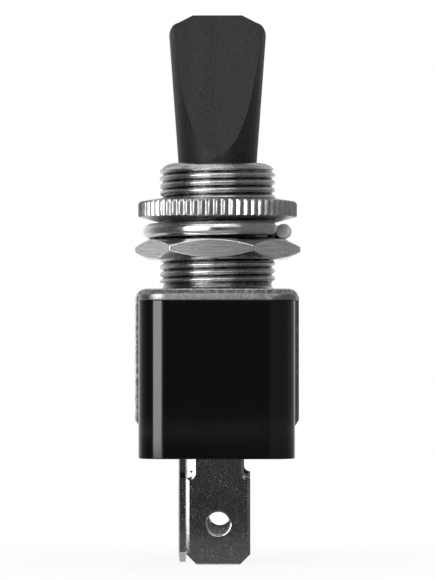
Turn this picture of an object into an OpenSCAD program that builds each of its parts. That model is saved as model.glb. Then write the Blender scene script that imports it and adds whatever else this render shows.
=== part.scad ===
// Panel toggle switch, single pole, two ways with a centre off position.
// Origin: axis of the bushing at the top face of the mounting frame. +Z runs up the bushing to the lever,
// X is the narrow side of the body, and the lever tilts about X.

/* [Lever] */
// Height of the pivot pin above the frame
pivot_height = 10.3; // [9.8:0.1:10.8]
// Tilt of the lever each way from its centre position, in degrees
lever_throw = 13; // [8:1:14]
// Height of the lever's tip above the frame
lever_top = 27.8; // [24:0.1:32]
// Half width of the paddle where it leaves the bushing
paddle_root_r = 3.97; // [3.6:0.01:4.0]
// Widening of the paddle's half width for each millimetre of height
paddle_flare = 0.0724; // [0.02:0.001:0.1]
// Half width of the flat along the top edge
paddle_top_flat = 2.5; // [1.5:0.1:3.5]
// Slope of the paddle's shoulders, in degrees
shoulder_slope = 26; // [10:1:40]
// Radius between the shoulders and the sides
shoulder_r = 1.3; // [0.6:0.1:2]
// Half thickness of the paddle at its thinnest
paddle_half_thick = 2.16; // [1.6:0.02:2.8]
// Radius of the finger scoops, front and back
scoop_r = 61; // [45:1:90]
// Radius of the pivot ball
ball_r = 3.8; // [3.4:0.05:3.85]
// Outer radius of the plunger barrel
barrel_r = 2.05; // [1.8:0.05:2.15]
// Depth of the barrel's mouth below the frame
barrel_depth = 4.5; // [3:0.1:5.5]
// Radius of the pivot pin
pin_r = 0.75; // [0.5:0.05:1]

/* [Bushing and nuts] */
// Major radius of the bushing thread
thread_r = 5.925; // [5.8:0.005:6]
// Pitch of the bushing thread
thread_pitch = 0.75; // [0.5:0.05:1]
// Height of the bushing above the frame
bushing_top = 12.8; // [12.4:0.1:14]
// Radius of the bushing's bore under the pivot
bushing_bore_r = 4.35; // [4.2:0.05:4.5]
// Radius of the mouth around the lever
bushing_mouth_r = 4.8; // [4.75:0.05:4.95]
// Width of the keyway in the bushing
keyway_w = 1.9; // [1:0.1:2.5]
// Depth of the keyway
keyway_depth = 0.7; // [0.3:0.05:0.75]
// Distance across the flats of the back nut
hex_flats = 14.68; // [14:0.01:17]
// Thickness of the back nut
hex_thick = 2.07; // [1.5:0.01:2.4]
// Height of the back nut's lower face above the frame
hex_low = 3.02; // [2.6:0.01:3.4]
// Turn of the back nut about the bushing, in degrees
hex_turn = 25.5; // [0:0.5:60]
// Outer radius of the knurled nut
knurl_r = 8.1; // [7.8:0.05:9]
// Number of teeth around the knurled nut
knurl_teeth = 64; // [48:1:72]
// Depth of the teeth
knurl_depth = 0.24; // [0.1:0.01:0.3]
// Height of the knurled nut's toothed band
knurl_band = 1.37; // [1:0.01:1.6]
// Rise of the knurled nut's cone, above and below the band
knurl_cone = 0.5; // [0.2:0.01:0.6]
// Wire radius of the lock washer
washer_wire_r = 0.77; // [0.6:0.01:0.8]
// Rise of the lock washer from one end to the other
washer_rise = 0.3; // [0:0.01:0.4]
// Gap between the ends of the lock washer, in degrees
washer_gap = 3; // [1:0.5:20]

/* [Body] */
// Width of the moulded body
body_w = 15.5; // [15:0.1:17]
// Length of the moulded body
body_l = 27.8; // [27:0.1:32]
// Depth of the body's base below the frame
body_depth = 16.87; // [16.4:0.01:20]
// Radius of the body's upright corners
body_corner_r = 2.67; // [1:0.01:3.2]
// Thickness of the body's side walls
wall = 1.65; // [1.45:0.05:1.8]
// Thickness of the body's floor
floor_thick = 3.87; // [3:0.01:5]
// Thickness of the frame and cover sheets
sheet = 0.6; // [0.5:0.02:0.7]
// How deep the frame's straps lie in the sides of the body
strap_sink = 0.15; // [0.1:0.01:0.3]
// Width of the folded frame and its straps
strap_w = 14.4; // [12.6:0.1:16]
// Depth of the strap ends below the frame
strap_depth = 14.13; // [11:0.01:15]
// Outer bend radius of the straps
bend_r = 1.1; // [0.8:0.05:1.3]
// Sideways offset of the cover plate as it was assembled
cover_shift = 0.15; // [0:0.01:0.2]
// Thickness of the insulating sheet
insulator_thick = 0.4; // [0.2:0.02:0.6]

/* [Terminals and contacts] */
// Width of the terminal blades
blade_w = 6.35; // [4.8:0.05:6.5]
// Thickness of the terminals
blade_thick = 0.8; // [0.5:0.05:0.9]
// Width of the terminals' necks
neck_w = 5.09; // [3.6:0.01:5.3]
// Length of the necks below the body
neck_l = 1.98; // [1:0.01:3]
// Radius between the necks and the blades' shoulders
neck_fillet = 0.6; // [0.1:0.05:0.6]
// Length of the blades below their shoulders
blade_l = 8.57; // [7:0.01:10]
// Radius of the blades' holes
blade_hole_r = 1.14; // [0.7:0.01:1.5]
// Distance from a blade's tip to the middle of its hole
hole_from_tip = 4.08; // [3:0.01:5]
// Length of the corner cut at a blade's tip
tip_corner = 1; // [0.4:0.05:1.4]
// Bevel along a blade's edges
edge_bevel = 0.28; // [0.1:0.02:0.35]
// Distance of the front and back terminals from the body's ends
terminal_inset = 3.95; // [3.5:0.05:4.4]
// Sideways place of the centre terminal
centre_offset = 3.53; // [3.3:0.01:3.7]
// Extra depth of the centre terminal
centre_drop = 0.21; // [0:0.01:0.5]
// Tilt of the rocker each way, in degrees
rocker_throw = 7; // [5:0.5:7.5]
// Thickness of the rocker strip
rocker_thick = 0.7; // [0.5:0.05:0.8]
// Width of the rocker
rocker_w = 5; // [4:0.1:5.2]
// Distance of the rocker's contacts from the terminals
contact_inset = 1.95; // [1.6:0.05:2.5]
// Height of the rocker's axis above the feet of the terminals
rocker_height = 1.49; // [1.4:0.01:2]
// Radius of the rocker's trunnions
trunnion_r = 0.4; // [0.3:0.05:0.45]
// Radius of the plunger
plunger_r = 1.28; // [1:0.02:1.3]
// Wire radius of the plunger spring
spring_wire_r = 0.16; // [0.1:0.01:0.2]
// Turns of the plunger spring
spring_turns = 7; // [4:1:9]

/* [Fits] */
// Radial clearance where a piece turns or slides
running_gap = 0.05; // [0.02:0.005:0.08]
// Clearance where two fixed pieces go together
seat_gap = 0.03; // [0.01:0.01:0.1]
// Clearance between pieces that pass each other
pass_gap = 0.06; // [0.04:0.01:0.12]

/* [Hidden] */
$fn = 96;
fine = 0.01;
far = 60;

// Heights, all from the frame's top face
cover_low = -2 * sheet;
body_top = cover_low;
body_low = -body_depth;
floor_top = body_low + floor_thick;
foot_top = floor_top + blade_thick;
insulator_low = body_top - insulator_thick;
shoulder_depth = body_depth + neck_l;
tip_depth = shoulder_depth + blade_l;
terminal_pitch = body_l / 2 - terminal_inset;
contact_arm = terminal_pitch - contact_inset;

// Plunger and rocker: the plunger's tip runs just above the rocker's trough
fulcrum_z = foot_top + rocker_height;
trough_low = fulcrum_z + rocker_thick / 2;
ball_centre_depth = -trough_low - pass_gap - plunger_r;
plunger_reach = pivot_height + ball_centre_depth;
rocker_ratio = rocker_throw / lever_throw;
// A trough of this radius keeps the plunger at one height while lever and rocker turn together
trough_r = plunger_reach / (1 + 2 * rocker_ratio) + plunger_r + pass_gap;
trough_half = 5;
trough_rise = trough_r - sqrt(trough_r ^ 2 - trough_half ^ 2);
arm_top = trough_low + trough_rise;
arm_low = arm_top - rocker_thick;
arm_overhang = 1.25;
arm_end = contact_arm + arm_overhang;
trunnion_l = 1.15;
trunnion_end = rocker_w / 2 + trunnion_l;
bar_web = 0.1;
arm_lap = 0.5;
plunger_top = -1.5;
spring_seat = 3.5;
spring_gap = 0.08;

// Contacts
contact_head_r = 1.15;
contact_head = 0.65;
contact_dome_r = 4;
contact_shank_r = 0.7;
contact_edge = 0.15;
moving_face_z = arm_low - contact_head;
dome_centre_up = moving_face_z + contact_dome_r - fulcrum_z;
closed_face_z = fulcrum_z - contact_arm * sin(rocker_throw)
    + dome_centre_up * cos(rocker_throw) - contact_dome_r;
fixed_face_z = closed_face_z - pass_gap;
fixed_head_r = 1.5;
contact_wipe = 0.2;
fixed_contact_y = contact_arm * cos(rocker_throw) + dome_centre_up * sin(rocker_throw) - contact_wipe;

// Saddle
ear_thick = 0.6;
ear_gap = 0.4;
ear_x = rocker_w / 2 + ear_gap;
ear_half = 1.3;
ear_rise = 0.55;
ear_top = fulcrum_z + ear_rise;
saddle_base = 0.5;
rivet_head = 0.3;
rivet_head_r = 1.2;
rivet_shank_r = 0.7;

// Terminals
foot_reach = 1.7;
edge_flat = 0.28;
corner_lean = 1.3;
wedge_h = 0.86;

// Frame and cover
strap_in = body_w / 2 - strap_sink;
strap_out = strap_in + sheet;
crimp = 1;
crimp_in = 0.62;
crimp_room = 0.3;
neck_r = 5.98;
// the neck is turned down to the root of the thread
thread_depth = 0.65;
neck_low_r = thread_r - thread_depth * thread_pitch;
neck_h = 0.55;
thread_low = 0.75;
runout = 0.4;
// the flange reaches to just short of the straps' bends
notch_gap = 0.05;
notch_x = strap_out - bend_r - notch_gap;
cover_bridge = 0.4;
flange_r = notch_x - cover_bridge;
cover_over_l = 0.1;
cover_over_w = 0.13;
cover_l = body_l + 2 * cover_over_l;
cover_w = body_w + 2 * cover_over_w;
chamber_r = 1;
ledge = 0.4;
insulator_r = 1;
insulator_slot = 5.4;
insulator_room = 0.5;

// Nuts and lock washer
nut_bore_r = thread_r + running_gap;
hex_corner_r = hex_flats / 2 / cos(30);
hex_top = hex_low + hex_thick;
hex_land = 0.24;
chamfer_flat_r = hex_flats / 2 - hex_land;
chamfer_slope = tan(30);
washer_play = 0.08;
washer_r = nut_bore_r + washer_play + washer_wire_r;
washer_low_z = hex_top + pass_gap / 2 + washer_wire_r;
washer_end_angle = -30.5;
knurl_edge = 0.12;
knurl_land = 0.15;
knurl_gap = 0.1;
knurl_cone_r = nut_bore_r + knurl_land;
// the nut's lower cone clears the washer's raised end
knurl_low = washer_low_z + washer_rise + washer_wire_r + knurl_gap
    + knurl_cone * (knurl_r - knurl_edge - washer_r) / (knurl_r - knurl_edge - knurl_cone_r);
knurl_high = knurl_low + knurl_band;

// Lever
scoop_rise = 0.9;
scoop_z = lever_top + scoop_rise;
paddle_sink = 0.24;
paddle_root_z = bushing_top - paddle_sink;
fairing_r = barrel_r + 1.1;
fairing_high = pivot_height - 0.62 * ball_r;
fairing_low = pivot_height - ball_r - 2.2;
barrel_edge = 0.3;

// Bore and rim of the bushing
seat_r = ball_r + 0.2;
seat_low = pivot_height - 0.9;
seat_high = pivot_height - 0.2;
seat_lead = 0.8;
swing_r = bushing_bore_r + 0.6;
swing_low = 2;
swing_high = 4;
rim_low = bushing_top - 0.75;
rim_high = bushing_top - 0.25;
rim_in = 0.45;
rim_land = 0.12;
pin_short = 0.6;
press_gap = 0.02;

function paddle_r(z) = paddle_root_r + paddle_flare * (z - paddle_root_z);

// Outline of the paddle seen from the front: flat top, sloping shoulders, rounded corners
module paddle_outline() {
    side_r = paddle_r(lever_top);
    drop = (side_r - paddle_top_flat) * tan(shoulder_slope);
    side_slope = atan(paddle_flare);
    // the rounding circle touches the shoulder line and the side line
    turn = 90 - shoulder_slope - side_slope;
    back = shoulder_r * tan(turn / 2);
    corner_z = lever_top - drop;
    low_x = side_r - paddle_flare * (lever_top - corner_z);
    side_x = low_x - paddle_flare * back;
    // right half of the outline, from the top down
    half = [
        [paddle_top_flat, lever_top],
        [low_x - back * cos(shoulder_slope), corner_z + back * sin(shoulder_slope)],
        [side_x, corner_z - back],
        [paddle_r(0), 0]
    ];
    polygon([
        for (p = half) p,
        for (i = [len(half) - 1 : -1 : 0]) [-half[i][0], half[i][1]]
    ]);
    for (s = [-1, 1])
        translate([s * (side_x - shoulder_r * cos(side_slope)), corner_z - back])
            circle(r = shoulder_r);
}

module lever() {
    color("#262626")
    difference() {
        union() {
            intersection() {
                rotate_extrude()
                    polygon([
                        [0, pivot_height], [paddle_r(pivot_height), pivot_height],
                        [paddle_r(lever_top), lever_top], [0, lever_top]
                    ]);
                rotate([90, 0, 0])
                    linear_extrude(height = far, center = true)
                        paddle_outline();
            }
            translate([0, 0, pivot_height])
                sphere(r = ball_r);
            rotate_extrude()
                polygon([
                    [0, pivot_height], [fairing_r, fairing_high], [barrel_r, fairing_low],
                    [barrel_r, -barrel_depth + barrel_edge], [barrel_r - barrel_edge, -barrel_depth],
                    [0, -barrel_depth]
                ]);
        }
        for (s = [-1, 1])
            translate([0, s * (paddle_half_thick + scoop_r), scoop_z])
                rotate([0, 90, 0])
                    cylinder(r = scoop_r, h = far, center = true, $fn = 360);
        translate([0, 0, pivot_height])
            rotate([0, 90, 0])
                cylinder(r = pin_r + running_gap, h = far, center = true, $fn = 48);
        translate([0, 0, spring_seat - far])
            cylinder(r = plunger_r + running_gap, h = far, $fn = 48);
    }
}

module pivot_pin() {
    color("#9a9a98")
    translate([0, 0, pivot_height])
        rotate([0, 90, 0])
            cylinder(r = pin_r, h = 2 * (thread_r - pin_short), center = true, $fn = 48);
}

module plunger() {
    color("#e4e0d2")
    union() {
        translate([0, 0, -ball_centre_depth])
            sphere(r = plunger_r, $fn = 48);
        translate([0, 0, -ball_centre_depth])
            cylinder(r = plunger_r, h = ball_centre_depth + plunger_top, $fn = 48);
    }
}

// Points of a round wire's skin along a helix: turns, mean radius, wire radius and rise
function ring_points(r, wire_r, a, z, sides) = [
    for (k = [0 : sides - 1])
        let (b = 360 * k / sides)
        [(r + wire_r * cos(b)) * cos(a), (r + wire_r * cos(b)) * sin(a), z + wire_r * sin(b)]
];

module helix_wire(r, wire_r, a0, a1, z0, z1, rings, sides) {
    points = [
        for (i = [0 : rings])
            each ring_points(r, wire_r, a0 + (a1 - a0) * i / rings, z0 + (z1 - z0) * i / rings, sides)
    ];
    walls = [
        for (i = [0 : rings - 1], k = [0 : sides - 1])
            let (n = (k + 1) % sides)
            [i * sides + k, i * sides + n, (i + 1) * sides + n, (i + 1) * sides + k]
    ];
    first = [for (k = [sides - 1 : -1 : 0]) k];
    last = [for (k = [0 : sides - 1]) rings * sides + k];
    polyhedron(points = points, faces = concat(walls, [first, last]), convexity = 8);
}

module plunger_spring() {
    turn = 360;
    steps = 14;
    sides = 8;
    color("#b8b8b4")
    helix_wire(
        plunger_r - spring_wire_r - spring_gap, spring_wire_r, 0, turn * spring_turns,
        plunger_top + spring_wire_r + fine, spring_seat - spring_wire_r - fine,
        steps * spring_turns, sides
    );
}

module bushing() {
    color("#c9c9c6")
    difference() {
        rotate_extrude()
            polygon([
                [0, cover_low], [flange_r, cover_low], [flange_r, -sheet], [neck_r, -sheet],
                [neck_r, 0], [neck_low_r, neck_h], [neck_low_r, thread_low - runout / 4],
                [thread_r, thread_low + runout * 3 / 4], [thread_r, rim_low],
                [thread_r - rim_in, rim_high], [bushing_mouth_r + rim_land, bushing_top],
                [0, bushing_top]
            ]);
        rotate_extrude()
            polygon([
                [0, cover_low - 1], [swing_r, cover_low - 1], [swing_r, swing_low],
                [bushing_bore_r, swing_high], [bushing_bore_r, seat_low - seat_lead],
                [seat_r, seat_low], [seat_r, seat_high], [bushing_mouth_r, bushing_top],
                [bushing_mouth_r, bushing_top + 1], [0, bushing_top + 1]
            ]);
        translate([0, 0, pivot_height])
            rotate([0, 90, 0])
                cylinder(r = pin_r + press_gap, h = far, center = true, $fn = 48);
        translate([-keyway_w / 2, thread_r - keyway_depth, thread_low + runout / 2])
            cube([keyway_w, far, far]);
    }
}

module knurled_nut() {
    root_r = knurl_r - knurl_depth;
    step = 360 / knurl_teeth;
    // each tooth has a narrow crest, two flanks and a narrow root, as shares of a step
    crest = 0.08;
    root = 0.42;
    tooth = [[crest, knurl_r], [root, root_r], [1 - root, root_r], [1 - crest, knurl_r]];
    outline = [
        for (i = [0 : knurl_teeth - 1], c = tooth)
            let (a = step * (i + c[0]))
            [c[1] * cos(a), c[1] * sin(a)]
    ];
    color("#cfcfcc")
    difference() {
        intersection() {
            translate([0, 0, knurl_low - knurl_band])
                linear_extrude(height = 3 * knurl_band)
                    polygon(outline);
            rotate_extrude()
                polygon([
                    [0, knurl_low - knurl_cone], [knurl_cone_r, knurl_low - knurl_cone],
                    [knurl_r - knurl_edge, knurl_low], [knurl_r, knurl_low + knurl_edge],
                    [knurl_r, knurl_high - knurl_edge], [knurl_r - knurl_edge, knurl_high],
                    [knurl_cone_r, knurl_high + knurl_cone], [0, knurl_high + knurl_cone]
                ]);
        }
        translate([0, 0, knurl_low - knurl_band])
            cylinder(r = nut_bore_r, h = 3 * knurl_band);
    }
}

module lock_washer() {
    rings = 64;
    sides = 16;
    color("#bdbdba")
    helix_wire(
        washer_r, washer_wire_r, washer_end_angle + washer_gap / 2,
        washer_end_angle + 360 - washer_gap / 2,
        washer_low_z, washer_low_z + washer_rise, rings, sides
    );
}

module hex_nut() {
    cone = (hex_corner_r - chamfer_flat_r) * chamfer_slope;
    color("#b4b4b1")
    difference() {
        intersection() {
            translate([0, 0, hex_low])
                rotate([0, 0, hex_turn - 90])
                    cylinder(r = hex_corner_r, h = hex_thick, $fn = 6);
            rotate_extrude()
                polygon([
                    [0, hex_low], [chamfer_flat_r, hex_low], [hex_corner_r, hex_low + cone],
                    [hex_corner_r + 1, hex_low + cone], [hex_corner_r + 1, hex_top - cone],
                    [hex_corner_r, hex_top - cone], [chamfer_flat_r, hex_top], [0, hex_top]
                ]);
        }
        translate([0, 0, hex_low - 1])
            cylinder(r = nut_bore_r, h = far);
    }
}

// Section of one side of the folded frame: the bend, the strap and its crimped end
module strap_section() {
    crimp_z = -strap_depth + crimp;
    translate([strap_out - bend_r, -bend_r])
        intersection() {
            difference() {
                circle(r = bend_r);
                circle(r = bend_r - sheet);
            }
            square(bend_r + 1);
        }
    polygon([
        [strap_in, -bend_r], [strap_out, -bend_r], [strap_out, crimp_z],
        [strap_out - crimp_in, -strap_depth], [strap_in - crimp_in, -strap_depth],
        [strap_in, crimp_z]
    ]);
}

module mounting_frame() {
    color("#a9a9a6")
    difference() {
        union() {
            for (side = [0, 180])
                rotate([90, 0, side])
                    linear_extrude(height = strap_w, center = true)
                        strap_section();
            translate([-strap_out + bend_r, -strap_w / 2, -sheet])
                cube([2 * (strap_out - bend_r), strap_w, sheet]);
        }
        translate([0, 0, -sheet - 1])
            cylinder(r = neck_r + press_gap, h = far);
    }
}

// Rectangle with rounded corners
module rounded_plate(w, l, r) {
    square([w - 2 * r, l], center = true);
    square([w, l - 2 * r], center = true);
    for (x = [-1, 1], y = [-1, 1])
        translate([x * (w / 2 - r), y * (l / 2 - r)])
            circle(r = r);
}

module cover_plate() {
    color("#b2b2ae")
    translate([0, 0, cover_low])
        linear_extrude(height = sheet)
            difference() {
                translate([cover_shift, 0])
                    rounded_plate(cover_w, cover_l, body_corner_r);
                circle(r = flange_r + seat_gap);
                for (s = [-1, 1])
                    translate([s * (notch_x + far / 2), 0])
                        square([far, strap_w + 2 * seat_gap], center = true);
            }
}

module insulator_sheet() {
    room = ledge - seat_gap;
    color("#6b3f2a")
    translate([0, 0, insulator_low])
        linear_extrude(height = insulator_thick)
            difference() {
                rounded_plate(body_w - 2 * (wall - room), body_l - 2 * (wall - room), insulator_r);
                square(2 * [barrel_r + insulator_room, insulator_slot - barrel_r], center = true);
                for (s = [-1, 1])
                    translate([0, s * (insulator_slot - barrel_r)])
                        circle(r = barrel_r + insulator_room);
            }
}

module housing() {
    color("#141414")
    difference() {
        translate([0, 0, body_low])
            linear_extrude(height = body_depth + body_top)
                rounded_plate(body_w, body_l, body_corner_r);
        // chamber and the ledge of the insulating sheet
        translate([0, 0, floor_top])
            linear_extrude(height = far)
                rounded_plate(body_w - 2 * wall, body_l - 2 * wall, chamber_r);
        translate([0, 0, insulator_low])
            linear_extrude(height = far)
                rounded_plate(body_w - 2 * (wall - ledge), body_l - 2 * (wall - ledge), insulator_r);
        // channels of the straps, with a notch under each crimped end
        for (s = [-1, 1]) {
            translate([s * (strap_in - seat_gap + far / 2), 0, 0])
                cube([far, strap_w + 2 * seat_gap, 2 * strap_depth], center = true);
            translate([s * (strap_in - crimp_in - seat_gap + far / 2), 0, -strap_depth + crimp / 2])
                cube([far, strap_w + 2 * seat_gap, crimp + crimp_room], center = true);
        }
        // slots of the terminals
        for (s = [-1, 1])
            translate([0, s * terminal_pitch, body_low])
                cube([neck_w + 2 * seat_gap, blade_thick + 2 * seat_gap, far], center = true);
        translate([-centre_offset, 0, body_low])
            cube([blade_thick + 2 * seat_gap, neck_w + 2 * seat_gap, far], center = true);
    }
}

// Blade of a quick-connect terminal in the XZ plane, middle of its thickness on y = 0
module blade(drop) {
    tip = -tip_depth - drop;
    top = -shoulder_depth - drop;
    half = blade_w / 2;
    corner = tip + tip_corner * corner_lean;
    wedge = tip + wedge_h;
    fillet_top = top + neck_fillet;
    difference() {
        intersection() {
            rotate([90, 0, 0])
                linear_extrude(height = blade_thick, center = true)
                    difference() {
                        polygon([
                            [-half + tip_corner, tip], [half - tip_corner, tip], [half, corner],
                            [half, top], [neck_w / 2 + neck_fillet, top],
                            [neck_w / 2 + neck_fillet, fillet_top], [-neck_w / 2 - neck_fillet, fillet_top],
                            [-neck_w / 2 - neck_fillet, top], [-half, top], [-half, corner]
                        ]);
                        for (s = [-1, 1])
                            translate([s * (neck_w / 2 + neck_fillet), fillet_top])
                                circle(r = neck_fillet, $fn = 48);
                    }
            // bevelled long edges
            translate([0, 0, tip - 1])
                linear_extrude(height = far)
                    polygon([
                        [-half, -edge_flat / 2], [-half + edge_bevel, -blade_thick / 2],
                        [half - edge_bevel, -blade_thick / 2], [half, -edge_flat / 2],
                        [half, edge_flat / 2], [half - edge_bevel, blade_thick / 2],
                        [-half + edge_bevel, blade_thick / 2], [-half, edge_flat / 2]
                    ]);
            // wedge at the tip
            rotate([90, 0, 90])
                linear_extrude(height = far, center = true)
                    polygon([
                        [-edge_flat / 2, tip], [edge_flat / 2, tip], [blade_thick / 2, wedge],
                        [blade_thick / 2, fillet_top], [-blade_thick / 2, fillet_top],
                        [-blade_thick / 2, wedge]
                    ]);
        }
        translate([0, 0, tip + hole_from_tip])
            rotate([90, 0, 0])
                cylinder(r = blade_hole_r, h = far, center = true, $fn = 64);
    }
}

// A front or back terminal: blade, neck through the floor, and a foot bent inwards over it
module side_terminal(s) {
    foot_in = contact_arm - foot_reach;
    color("#a7a49c")
    difference() {
        union() {
            translate([0, s * terminal_pitch, 0])
                blade(0);
            translate([-neck_w / 2, s * terminal_pitch - blade_thick / 2, -shoulder_depth - fine])
                cube([neck_w, blade_thick, shoulder_depth + foot_top + fine]);
            translate([-neck_w / 2, s > 0 ? foot_in : -terminal_pitch, floor_top])
                cube([neck_w, terminal_pitch - foot_in, blade_thick]);
        }
        translate([0, s * fixed_contact_y, floor_top - 1])
            cylinder(r = contact_shank_r + press_gap, h = blade_thick + 2, $fn = 48);
    }
}

module terminal_front() side_terminal(-1);

module terminal_back() side_terminal(1);

module terminal_centre() {
    top = -shoulder_depth - centre_drop;
    color("#a7a49c")
    difference() {
        union() {
            translate([-centre_offset, 0, 0])
                rotate([0, 0, 90])
                    blade(centre_drop);
            translate([-centre_offset - blade_thick / 2, -neck_w / 2, top - fine])
                cube([blade_thick, neck_w, foot_top - top + fine]);
            translate([-centre_offset, -neck_w / 2, floor_top])
                cube([centre_offset + ear_x, neck_w, blade_thick]);
        }
        translate([0, 0, floor_top - 1])
            cylinder(r = rivet_shank_r + press_gap, h = blade_thick + 2, $fn = 48);
    }
}

module fixed_contact(s) {
    color("#d8d8d4")
    translate([0, s * fixed_contact_y, 0])
        rotate_extrude($fn = 64)
            polygon([
                [0, floor_top], [contact_shank_r, floor_top], [contact_shank_r, foot_top],
                [fixed_head_r, foot_top], [fixed_head_r, fixed_face_z - contact_edge],
                [fixed_head_r - contact_edge, fixed_face_z], [0, fixed_face_z]
            ]);
}

module fixed_contact_front() fixed_contact(-1);

module fixed_contact_back() fixed_contact(1);

module rocker_saddle() {
    color("#b9975b")
    difference() {
        union() {
            translate([-ear_x - ear_thick, -ear_half, foot_top])
                cube([2 * (ear_x + ear_thick), 2 * ear_half, saddle_base]);
            for (s = [-1, 1])
                translate([s * (ear_x + ear_thick / 2), 0, 0])
                    translate([-ear_thick / 2, -ear_half, foot_top])
                        cube([ear_thick, 2 * ear_half, ear_top - foot_top]);
        }
        // notches open upwards
        translate([0, 0, fulcrum_z])
            rotate([0, 90, 0])
                cylinder(r = trunnion_r + running_gap, h = far, center = true, $fn = 48);
        translate([-far / 2, -trunnion_r - running_gap, fulcrum_z])
            cube([far, 2 * (trunnion_r + running_gap), far]);
        translate([0, 0, foot_top - 1])
            cylinder(r = rivet_shank_r + press_gap, h = saddle_base + 2, $fn = 48);
    }
}

module saddle_rivet() {
    base_top = foot_top + saddle_base;
    color("#c9a66b")
    rotate_extrude($fn = 64)
        polygon([
            [0, floor_top], [rivet_shank_r, floor_top], [rivet_shank_r, base_top],
            [rivet_head_r, base_top], [rivet_head_r * 0.92, base_top + rivet_head * 0.6],
            [rivet_head_r * 0.58, base_top + rivet_head], [0, base_top + rivet_head]
        ]);
}

// Section of the rocker along its length: a round trough between two straight arms
module rocker_section() {
    trough_z = trough_low + trough_r;
    intersection() {
        translate([0, trough_z])
            difference() {
                circle(r = trough_r + rocker_thick, $fn = 180);
                circle(r = trough_r, $fn = 180);
            }
        translate([-trough_half, trough_low - rocker_thick - 1])
            square([2 * trough_half, arm_top - trough_low + rocker_thick + 1]);
    }
    for (s = [-1, 1])
        translate([s * (trough_half + arm_end) / 2, (arm_top + arm_low) / 2])
            square([arm_end - trough_half + arm_lap, rocker_thick], center = true);
}

module rocker() {
    color("#c07a4a")
    difference() {
        union() {
            rotate([90, 0, 90])
                linear_extrude(height = rocker_w, center = true)
                    rocker_section();
            translate([0, 0, fulcrum_z])
                rotate([0, 90, 0])
                    cylinder(r = trunnion_r, h = 2 * trunnion_end, center = true, $fn = 48);
        }
        for (s = [-1, 1])
            translate([0, s * contact_arm, arm_low - 1])
                cylinder(r = contact_shank_r + press_gap, h = rocker_thick + 2, $fn = 48);
        // the plunger runs above the trunnion bar
        translate([0, 0, trough_low + trough_r])
            rotate([0, 90, 0])
                cylinder(r = trough_r, h = rocker_w - 2 * bar_web, center = true, $fn = 180);
    }
}

module rocker_contact(s) {
    color("#d8d8d4")
    translate([0, s * contact_arm, 0])
        difference() {
            rotate_extrude($fn = 64)
                polygon([
                    [0, arm_top], [contact_shank_r, arm_top], [contact_shank_r, arm_low],
                    [contact_head_r, arm_low], [contact_head_r, moving_face_z], [0, moving_face_z]
                ]);
            difference() {
                translate([0, 0, moving_face_z - contact_head])
                    cylinder(r = 2 * contact_head_r, h = 1.6 * contact_head);
                translate([0, 0, moving_face_z + contact_dome_r])
                    sphere(r = contact_dome_r, $fn = 180);
            }
        }
}

module rocker_contact_front() rocker_contact(-1);

module rocker_contact_back() rocker_contact(1);

lever();
pivot_pin();
plunger();
plunger_spring();
bushing();
knurled_nut();
lock_washer();
hex_nut();
mounting_frame();
cover_plate();
insulator_sheet();
housing();
terminal_front();
terminal_centre();
terminal_back();
fixed_contact_front();
fixed_contact_back();
rocker_saddle();
saddle_rivet();
rocker();
rocker_contact_front();
rocker_contact_back();
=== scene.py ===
"""Dressed model of a panel toggle switch with a paddle lever, its nuts, frame, body and tabs.

The file is laid out as an add-on: property groups hold the sizes and colours, each piece or group of
pieces has its operator, and main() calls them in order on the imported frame.
"""
import math

import bmesh
import bpy
import numpy as np
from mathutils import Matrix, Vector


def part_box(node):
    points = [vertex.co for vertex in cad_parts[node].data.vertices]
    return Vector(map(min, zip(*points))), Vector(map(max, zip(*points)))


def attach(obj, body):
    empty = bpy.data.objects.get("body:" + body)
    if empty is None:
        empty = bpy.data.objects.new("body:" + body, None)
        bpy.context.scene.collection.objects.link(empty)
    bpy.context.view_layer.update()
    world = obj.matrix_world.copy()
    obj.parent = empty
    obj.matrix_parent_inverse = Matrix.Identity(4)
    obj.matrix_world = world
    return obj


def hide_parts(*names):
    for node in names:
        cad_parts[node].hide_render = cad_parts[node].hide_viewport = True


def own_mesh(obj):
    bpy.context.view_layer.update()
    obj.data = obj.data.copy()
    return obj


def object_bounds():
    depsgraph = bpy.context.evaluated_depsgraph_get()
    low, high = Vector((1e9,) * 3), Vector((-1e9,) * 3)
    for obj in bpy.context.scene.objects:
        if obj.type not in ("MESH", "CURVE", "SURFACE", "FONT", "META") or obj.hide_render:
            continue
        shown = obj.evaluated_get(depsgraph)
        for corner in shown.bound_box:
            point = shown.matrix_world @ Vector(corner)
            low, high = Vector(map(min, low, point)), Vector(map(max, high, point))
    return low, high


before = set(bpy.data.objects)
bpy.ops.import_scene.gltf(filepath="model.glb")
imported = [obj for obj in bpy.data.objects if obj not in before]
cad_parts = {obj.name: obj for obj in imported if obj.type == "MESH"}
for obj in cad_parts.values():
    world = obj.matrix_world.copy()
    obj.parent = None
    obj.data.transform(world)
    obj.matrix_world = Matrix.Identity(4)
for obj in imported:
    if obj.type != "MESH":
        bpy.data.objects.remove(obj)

bl_info = {
    "name": "Panel toggle switch",
    "version": (1, 0, 0),
    "blender": (4, 5, 0),
    "location": "View3D > Sidebar > Toggle Switch",
    "description": "Dresses the packed toggle switch: thread, knurl, nuts, sheets, moulding and stage",
    "category": "Object",
}

MM = 0.001
CAD_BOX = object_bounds()
# points closer than this, in metres, are one point
WELD = 1e-7
# rows of points along a studio card
CARD_ROWS = 40
# fits that the solids keep: from the nut's teeth in to its bore, and from there to the thread's crests
NUT_WALL = 2.125 * MM
THREAD_PLAY = 0.05 * MM


# ---------------------------------------------------------------- sizes and colours

def length(name, text, default_mm):
    """A length property: the default is given in millimetres and kept in metres."""
    return bpy.props.FloatProperty(name=name, description=text, default=default_mm * MM, min=0,
                                   precision=6, unit="LENGTH", subtype="DISTANCE")


def colour(name, text, rgb):
    """A linear colour property."""
    return bpy.props.FloatVectorProperty(name=name, description=text, default=rgb, size=3,
                                         min=0, max=1, subtype="COLOR")


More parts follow.
